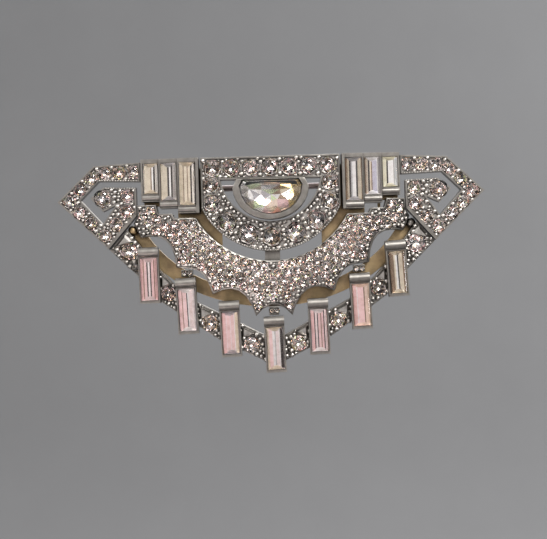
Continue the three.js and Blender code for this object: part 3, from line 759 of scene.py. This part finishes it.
SKY_STRENGTH = 0.9


def make_sky():
    """A soft white sky that falls off below the horizon."""
    world = bpy.data.worlds.new("studio")
    bpy.context.scene.world = world
    world.use_nodes = True
    nodes, links = world.node_tree.nodes, world.node_tree.links
    coordinates = nodes.new("ShaderNodeTexCoord")
    split = nodes.new("ShaderNodeSeparateXYZ")
    links.new(coordinates.outputs["Generated"], split.inputs[0])
    height = nodes.new("ShaderNodeMapRange")
    height.inputs["From Min"].default_value = -1.0
    links.new(split.outputs["Z"], height.inputs["Value"])
    stops = [(0.2, (0.34, 0.31, 0.31)), (0.45, (0.84, 0.81, 0.80)), (0.8, (1.0, 1.0, 1.0))]
    links.new(ramp(nodes, links, height.outputs[0], stops), nodes["Background"].inputs["Color"])
    nodes["Background"].inputs["Strength"].default_value = SKY_STRENGTH


def make_stage():
    """A floor that curves up into a backdrop, in metres."""
    half_width, front, back = 6.0, -6.0, 0.8
    floor_z, top = -0.42, 3.0
    bend, bend_steps = 0.3, 10
    profile = [(front, floor_z), (back - bend, floor_z)]
    for step in range(1, bend_steps + 1):
        angle = math.radians(90 / bend_steps * step)
        profile.append((back - bend + bend * math.sin(angle), floor_z + bend - bend * math.cos(angle)))
    profile.append((back, top))
    points = [(x, y, z) for y, z in profile for x in (-half_width, half_width)]
    faces = [(2 * i, 2 * i + 1, 2 * i + 3, 2 * i + 2) for i in range(len(profile) - 1)]
    mesh = bpy.data.meshes.new("stage")
    mesh.from_pydata(points, [], faces)
    mesh.polygons.foreach_set("use_smooth", [True] * len(faces))
    stage = bpy.data.objects.new("stage", mesh)
    bpy.context.scene.collection.objects.link(stage)
    material, nodes, links, shader = new_material("grey_paper")
    shader.inputs["Roughness"].default_value = 0.9
    greys = [(0.3, (0.148, 0.150, 0.154)), (0.7, (0.155, 0.157, 0.161))]
    links.new(ramp(nodes, links, noise(nodes, links, 0.02), greys), shader.inputs["Base Color"])
    mesh.materials.append(material)


make_sky()
make_stage()
bpy.context.scene.view_settings.view_transform = "Standard"

# ---------------------------------------------------------------- round stones, their beds and beads

FIELDS = {
    # name: CAD node, seed, growth and lift (mm) of the stones, bead sizes
    "center_panel": ("center_panel_chatons", 11, 1.19, 0.30, (0.44, 0.34, 0.25)),
    "left_wing": ("left_wing_chatons", 12, 1.10, 0.22, (0.42, 0.34, 0.24)),
    "right_wing": ("right_wing_chatons", 13, 1.10, 0.22, (0.42, 0.34, 0.24)),
    "pave": ("pave_chatons", 14, 1.03, 0.15, (0.36, 0.27, 0.20)),
}
for field, (field_node, seed, grow, lift, sizes) in FIELDS.items():
    field_seats = set_chatons(f"{field}_stones", field_node, seed, grow, lift)
    bed_without_crowns(f"{field}_bed", field_node)
    field_beads = Shape()
    fill_with_beads(field_beads, field_node, field_seats, sizes, seed)
    field_beads.make(f"{field}_beads", [LIT_RHODIUM], smooth=True)

fringe_seats = []
for index in range(1, 9):
    fringe_node = f"fringe_chaton_{index}"
    fringe_seats += set_chatons(f"fringe_stone_{index}", fringe_node, seed=20 + index, grow=1.15, lift=0.22)

# Raised triangles cast in the band, in the upper outer corner of each segment (right half, mm)
FRINGE_TRIANGLES = [
    [(5.3, -19.9), (2.9, -21.1), (5.3, -21.9)], [(11.95, -16.5), (9.4, -17.8), (11.95, -18.8)],
    [(17.9, -11.1), (16.1, -12.9), (17.9, -13.7)], [(23.4, -4.7), (22.0, -6.0), (25.3, -7.0)],
]
TRIANGLE_RINGS = [(1.85, 1.0), (2.15, 0.92), (2.42, 0.55)]  # height and share of the size, foot to top
TRIANGLE_SEAT = 1.9  # height of the band, mm
TRIANGLE_ROOM = 0.75 * MM  # radius that stays free of beads


def add_triangle(shape, corners, side):
    """A raised triangle with sloping walls. Returns the room it takes, as (centre, normal, radius)."""
    middle_x = sum(x for x, _ in corners) / 3
    middle_y = sum(y for _, y in corners) / 3
    points = [
        at(side * (middle_x + (x - middle_x) * share), middle_y + (y - middle_y) * share, z)
        for z, share in TRIANGLE_RINGS for x, y in corners
    ]
    faces = [[2, 1, 0], [6, 7, 8]]
    for foot in (0, 3):
        for i in range(3):
            j = (i + 1) % 3
            faces.append([foot + i, foot + j, foot + 3 + j, foot + 3 + i])
    shape.add(Matrix.Identity(4), points, faces)
    return at(side * middle_x, middle_y, TRIANGLE_SEAT), FRONT, TRIANGLE_ROOM


triangles = Shape()
triangle_seats = [
    add_triangle(triangles, corners, side) for side in (-1, 1) for corners in FRINGE_TRIANGLES
]
triangles.make("fringe_triangles", [LIT_RHODIUM])

fringe_beads = Shape()
fill_with_beads(
    fringe_beads, "fringe_frame", fringe_seats + triangle_seats, sizes=(0.42, 0.34, 0.25), seed=30,
    overlap=0.14, darts=9000, margin=0.3,
)
fringe_beads.make("fringe_beads", [LIT_RHODIUM], smooth=True)

# ---------------------------------------------------------------- small stones and studs

LINKS = [(-13.65, -11.25), (0, -17.55), (13.65, -11.25)]  # middles of the three links, mm
# x, y, height and radius, mm: the extra one in the left band, then a pair on each link
SMALL_STONES = [(-21.8, -10.1, 2.25, 0.72)]
SMALL_STONES += [(x + shift, y, 3.4, 0.46) for x, y in LINKS for shift in (-0.42, 0.42)]
SMALL_CUT = {"crown": 0.4, "depth": 0.5, "table": 0.55}  # over the radius

small_rng = random.Random(35)
small_stones = Shape()
for x, y, z, radius_mm in SMALL_STONES:
    radius = radius_mm * MM
    small_outline = circle_points(STONE_POINTS, radius, small_rng.random())
    add_cut_stone(
        small_stones, facing(at(x, y, z), FRONT), small_outline, SMALL_CUT["crown"] * radius,
        SMALL_CUT["depth"] * radius, lambda x, y: pick(small_rng, CHATON_FOIL_AND_REFLECTION_PALETTE), SMALL_CUT["table"],
    )
small_stones.make("small_stones", [CRYSTAL, FOIL])

STUD_SIDES = 24
STUD_PROFILE = [(0.8, -0.06), (0.8, 0.8), (0.68, 1.15), (0.42, 1.38)]  # radius and height, mm
STUD_TOP = 1.45
STUD_PLACE = (22.25, -4.2)


def make_stud(side_name, side, slot):
    """A round stud at one end of the strap."""
    middle_x, middle_y = side * STUD_PLACE[0], STUD_PLACE[1]
    points = [
        at(middle_x + x, middle_y + y, z)
        for radius, z in STUD_PROFILE for x, y in circle_points(STUD_SIDES, radius)
    ]
    points.append(at(middle_x, middle_y, STUD_TOP))
    rim = (len(STUD_PROFILE) - 1) * STUD_SIDES
    top_point = len(points) - 1
    faces = []
    for ring in range(0, rim, STUD_SIDES):
        for i in range(STUD_SIDES):
            a, b = ring + i, ring + (i + 1) % STUD_SIDES
            faces.append([a, b, b + STUD_SIDES, a + STUD_SIDES])
    faces += [[rim + i, rim + (i + 1) % STUD_SIDES, top_point] for i in range(STUD_SIDES)]
    faces.append(list(range(STUD_SIDES)))
    stud = Shape()
    stud.add(Matrix.Identity(4), points, faces)
    stud.make(f"{side_name}_strap_stud", [FINISHES[slot]], smooth=True)


make_stud("left", -1, "brass")
make_stud("right", 1, "rhodium")

# ---------------------------------------------------------------- milgrain

# Round the panel's U, mm and degrees
PANEL_ARC = {
    "centre": 4.18, "radius": 12.12, "height": 2.8, "from": 205, "step": 2.5, "count": 53, "bead": 0.17,
}
# On the right wing's top rail, mm: start, end and radius of the beads
WING_LINES = [((20.9, 3.68), (27.3, 3.88), 0.16), ((21.6, 2.48), (26.4, 2.64), 0.14)]
WING_HEIGHT = 2.2

milgrain = Shape()
lower_arc = []
for i in range(PANEL_ARC["count"]):
    angle = math.radians(PANEL_ARC["from"] + PANEL_ARC["step"] * i)
    arc_x = PANEL_ARC["radius"] * math.cos(angle)
    arc_y = PANEL_ARC["centre"] + PANEL_ARC["radius"] * math.sin(angle)
    lower_arc.append(at(arc_x, arc_y, PANEL_ARC["height"]))
add_milgrain(milgrain, lower_arc, PANEL_ARC["bead"])
for side in (-1, 1):
    for line_start, line_end, radius in WING_LINES:
        line = [at(side * x, y, WING_HEIGHT) for x, y in (line_start, line_end)]
        add_milgrain(milgrain, line, radius)
milgrain.make("milgrain", [LIT_RHODIUM], smooth=True)

# ---------------------------------------------------------------- baguettes

CREAM = (0.95, 0.90, 0.70)
BAGUETTES = {
    # CAD node: strips of foil from left to right as (share, colour), colour of the ends; the white, grey,
    # brown and dark strips are painted reflections of the step facets
    "fringe_baguette_1": (
        [(1.2, PINK), (0.5, BROWN), (1.2, PINK), (0.6, DARK_REFLECTION), (0.9, BLUSH), (0.6, DARK_REFLECTION), (1.2, PINK),
         (0.5, BROWN), (1.2, PINK)],
        BLUSH,
    ),
    "fringe_baguette_2": (
        [(0.6, DARK_REFLECTION), (1.6, PINK), (0.5, BROWN), (2.2, PINK), (0.6, DARK_REFLECTION), (0.6, WHITE), (2.2, BLUSH),
         (1.2, WHITE), (0.5, ICE)],
        WHITE,
    ),
    "fringe_baguette_3": (
        [(0.5, BROWN), (1.6, PINK), (0.4, BLUSH), (1.6, PINK), (0.4, BLUSH), (1.6, PINK), (0.4, WHITE),
         (1.3, CREAM), (0.6, GREY)],
        GREY,
    ),
    "fringe_baguette_4": (
        [(1.2, BEIGE), (1.6, PINK), (1.1, WHITE), (0.5, GREY), (1.4, BLUSH), (0.6, WHITE), (1.0, DARK_REFLECTION),
         (0.6, GREY)],
        BEIGE,
    ),
    "fringe_baguette_5": (
        [(0.6, GREY), (1.2, PINK), (0.5, DARK_REFLECTION), (1.0, BLUSH), (0.5, DARK_REFLECTION), (1.2, PINK), (0.45, BROWN),
         (1.0, PINK), (0.5, DARK_REFLECTION), (0.9, BLUSH), (0.5, BROWN)],
        WHITE,
    ),
    "fringe_baguette_6": (
        [(0.5, BROWN), (1.2, PINK), (0.4, WHITE), (2.4, PINK), (0.5, BROWN), (1.0, PEACH), (0.8, BEIGE)],
        PEACH,
    ),
    "fringe_baguette_7": (
        [(0.8, DARK_REFLECTION), (1.6, BROWN), (0.7, BEIGE), (0.8, WHITE), (0.6, DARK_REFLECTION), (1.7, BEIGE), (0.8, BROWN),
         (0.5, BEIGE)],
        BEIGE,
    ),
    "left_top_baguette_1": (
        [(0.6, GREY), (1.6, BEIGE), (0.45, BROWN), (1.5, BEIGE), (0.5, BROWN), (1.2, BEIGE), (0.8, DARK_REFLECTION),
         (0.9, WHITE), (0.9, DARK_REFLECTION)],
        BEIGE,
    ),
    "left_top_baguette_2": (
        [(0.6, BROWN), (3.0, BEIGE), (1.0, DARK_REFLECTION), (0.9, WHITE), (0.9, DARK_REFLECTION), (1.2, GREY), (0.6, WHITE)],
        GREY,
    ),
    "left_top_baguette_3": (
        [(0.8, GREY), (3.2, BEIGE), (0.6, BROWN), (0.9, WHITE), (0.9, DARK_REFLECTION), (1.0, WHITE), (0.5, GREY)],
        BEIGE,
    ),
    "right_top_baguette_1": (
        [(1.2, BROWN), (0.8, BEIGE), (1.0, DARK_REFLECTION), (0.8, GREY), (1.8, WHITE), (0.9, DARK_REFLECTION), (1.7, BEIGE),
         (0.6, BROWN)],
        GREY,
    ),
    "right_top_baguette_2": (
        [(1.0, BROWN), (0.6, BEIGE), (0.9, DARK_REFLECTION), (0.7, BEIGE), (0.6, BROWN), (2.2, LAVENDER), (0.5, WHITE),
         (1.2, GREY)],
        WHITE,
    ),
    "right_top_baguette_3": (
        [(1.8, CREAM), (0.8, DARK_REFLECTION), (2.6, WHITE), (0.5, GREY), (0.9, ICE), (0.6, WHITE)],
        CREAM,
    ),
}
for order, (stick_node, (strips, end_tint)) in enumerate(BAGUETTES.items()):
    stick = Shape()
    stick_matrix, (stick_width, stick_length, _) = lie_of(stick_node)
    stick_rng = random.Random(40 + order)
    add_baguette(stick, stick_matrix, stick_width, stick_length, strips, end_tint, stick_rng)
    stick.make(f"{stick_node}_cut", [CRYSTAL, SATIN_FOIL], replaces=(stick_node,))

# ---------------------------------------------------------------- half moon

# Millimetres: y of the top, shoulder, bottom and centre, height of the girdle, and the cut
MOON = {
    "half_width": 4.86, "top": 3.03, "shoulder": 2.1, "bottom": -2.23, "centre": 0.8,
    "girdle": 4.3, "crown": 0.52, "depth": 0.75, "table": 0.68,
}
MOON_TOP_CORNERS = (4.3, 2.2, 0, -2.2, -4.3)
MOON_ARC_STEPS = 10

moon_corners = [(x, MOON["top"]) for x in MOON_TOP_CORNERS]
moon_corners.append((-MOON["half_width"], MOON["shoulder"]))
moon_drop = MOON["shoulder"] - MOON["bottom"]
for i in range(1, MOON_ARC_STEPS):
    angle = math.pi + math.pi * i / MOON_ARC_STEPS
    arc_x, arc_y = MOON["half_width"] * math.cos(angle), MOON["shoulder"] + moon_drop * math.sin(angle)
    moon_corners.append((arc_x, arc_y))
moon_corners.append((MOON["half_width"], MOON["shoulder"]))
moon_outline = [(x * MM, (y - MOON["centre"]) * MM) for x, y in moon_corners]
moon_rng = random.Random(70)


# Millimetres from the moon's centre
CORAL_PATCH = {"below": -0.8, "middle": 0.6, "reach": 1.6}
GOLD_FROM = 0.5


def moon_tint(x, y):
    """Pale green and white at the left, gold and brown at the right, coral low in the middle: partly foil
    tint, partly painted reflection in the facets.
    """
    low = y < CORAL_PATCH["below"] * MM
    if low and abs(x - CORAL_PATCH["middle"] * MM) < CORAL_PATCH["reach"] * MM:
        palette = [(3, CORAL), (2, PINK), (1, PEACH)]
    elif x > GOLD_FROM * MM:
        palette = [(3, GOLD), (3, BEIGE), (2, BROWN), (1, WHITE)]
    else:
        palette = [(3, WHITE), (3, LIME), (1, ICE), (2, GREY), (1, BEIGE)]
    return pick(moon_rng, palette)


moon = Shape()
moon_matrix = facing(at(0, MOON["centre"], MOON["girdle"]), FRONT)
add_cut_stone(
    moon, moon_matrix, moon_outline, MOON["crown"] * MM, MOON["depth"] * MM, moon_tint, MOON["table"],
)
moon.make("half_moon_cut", [CRYSTAL, MOON_FOIL], replaces=("half_moon_stone",))
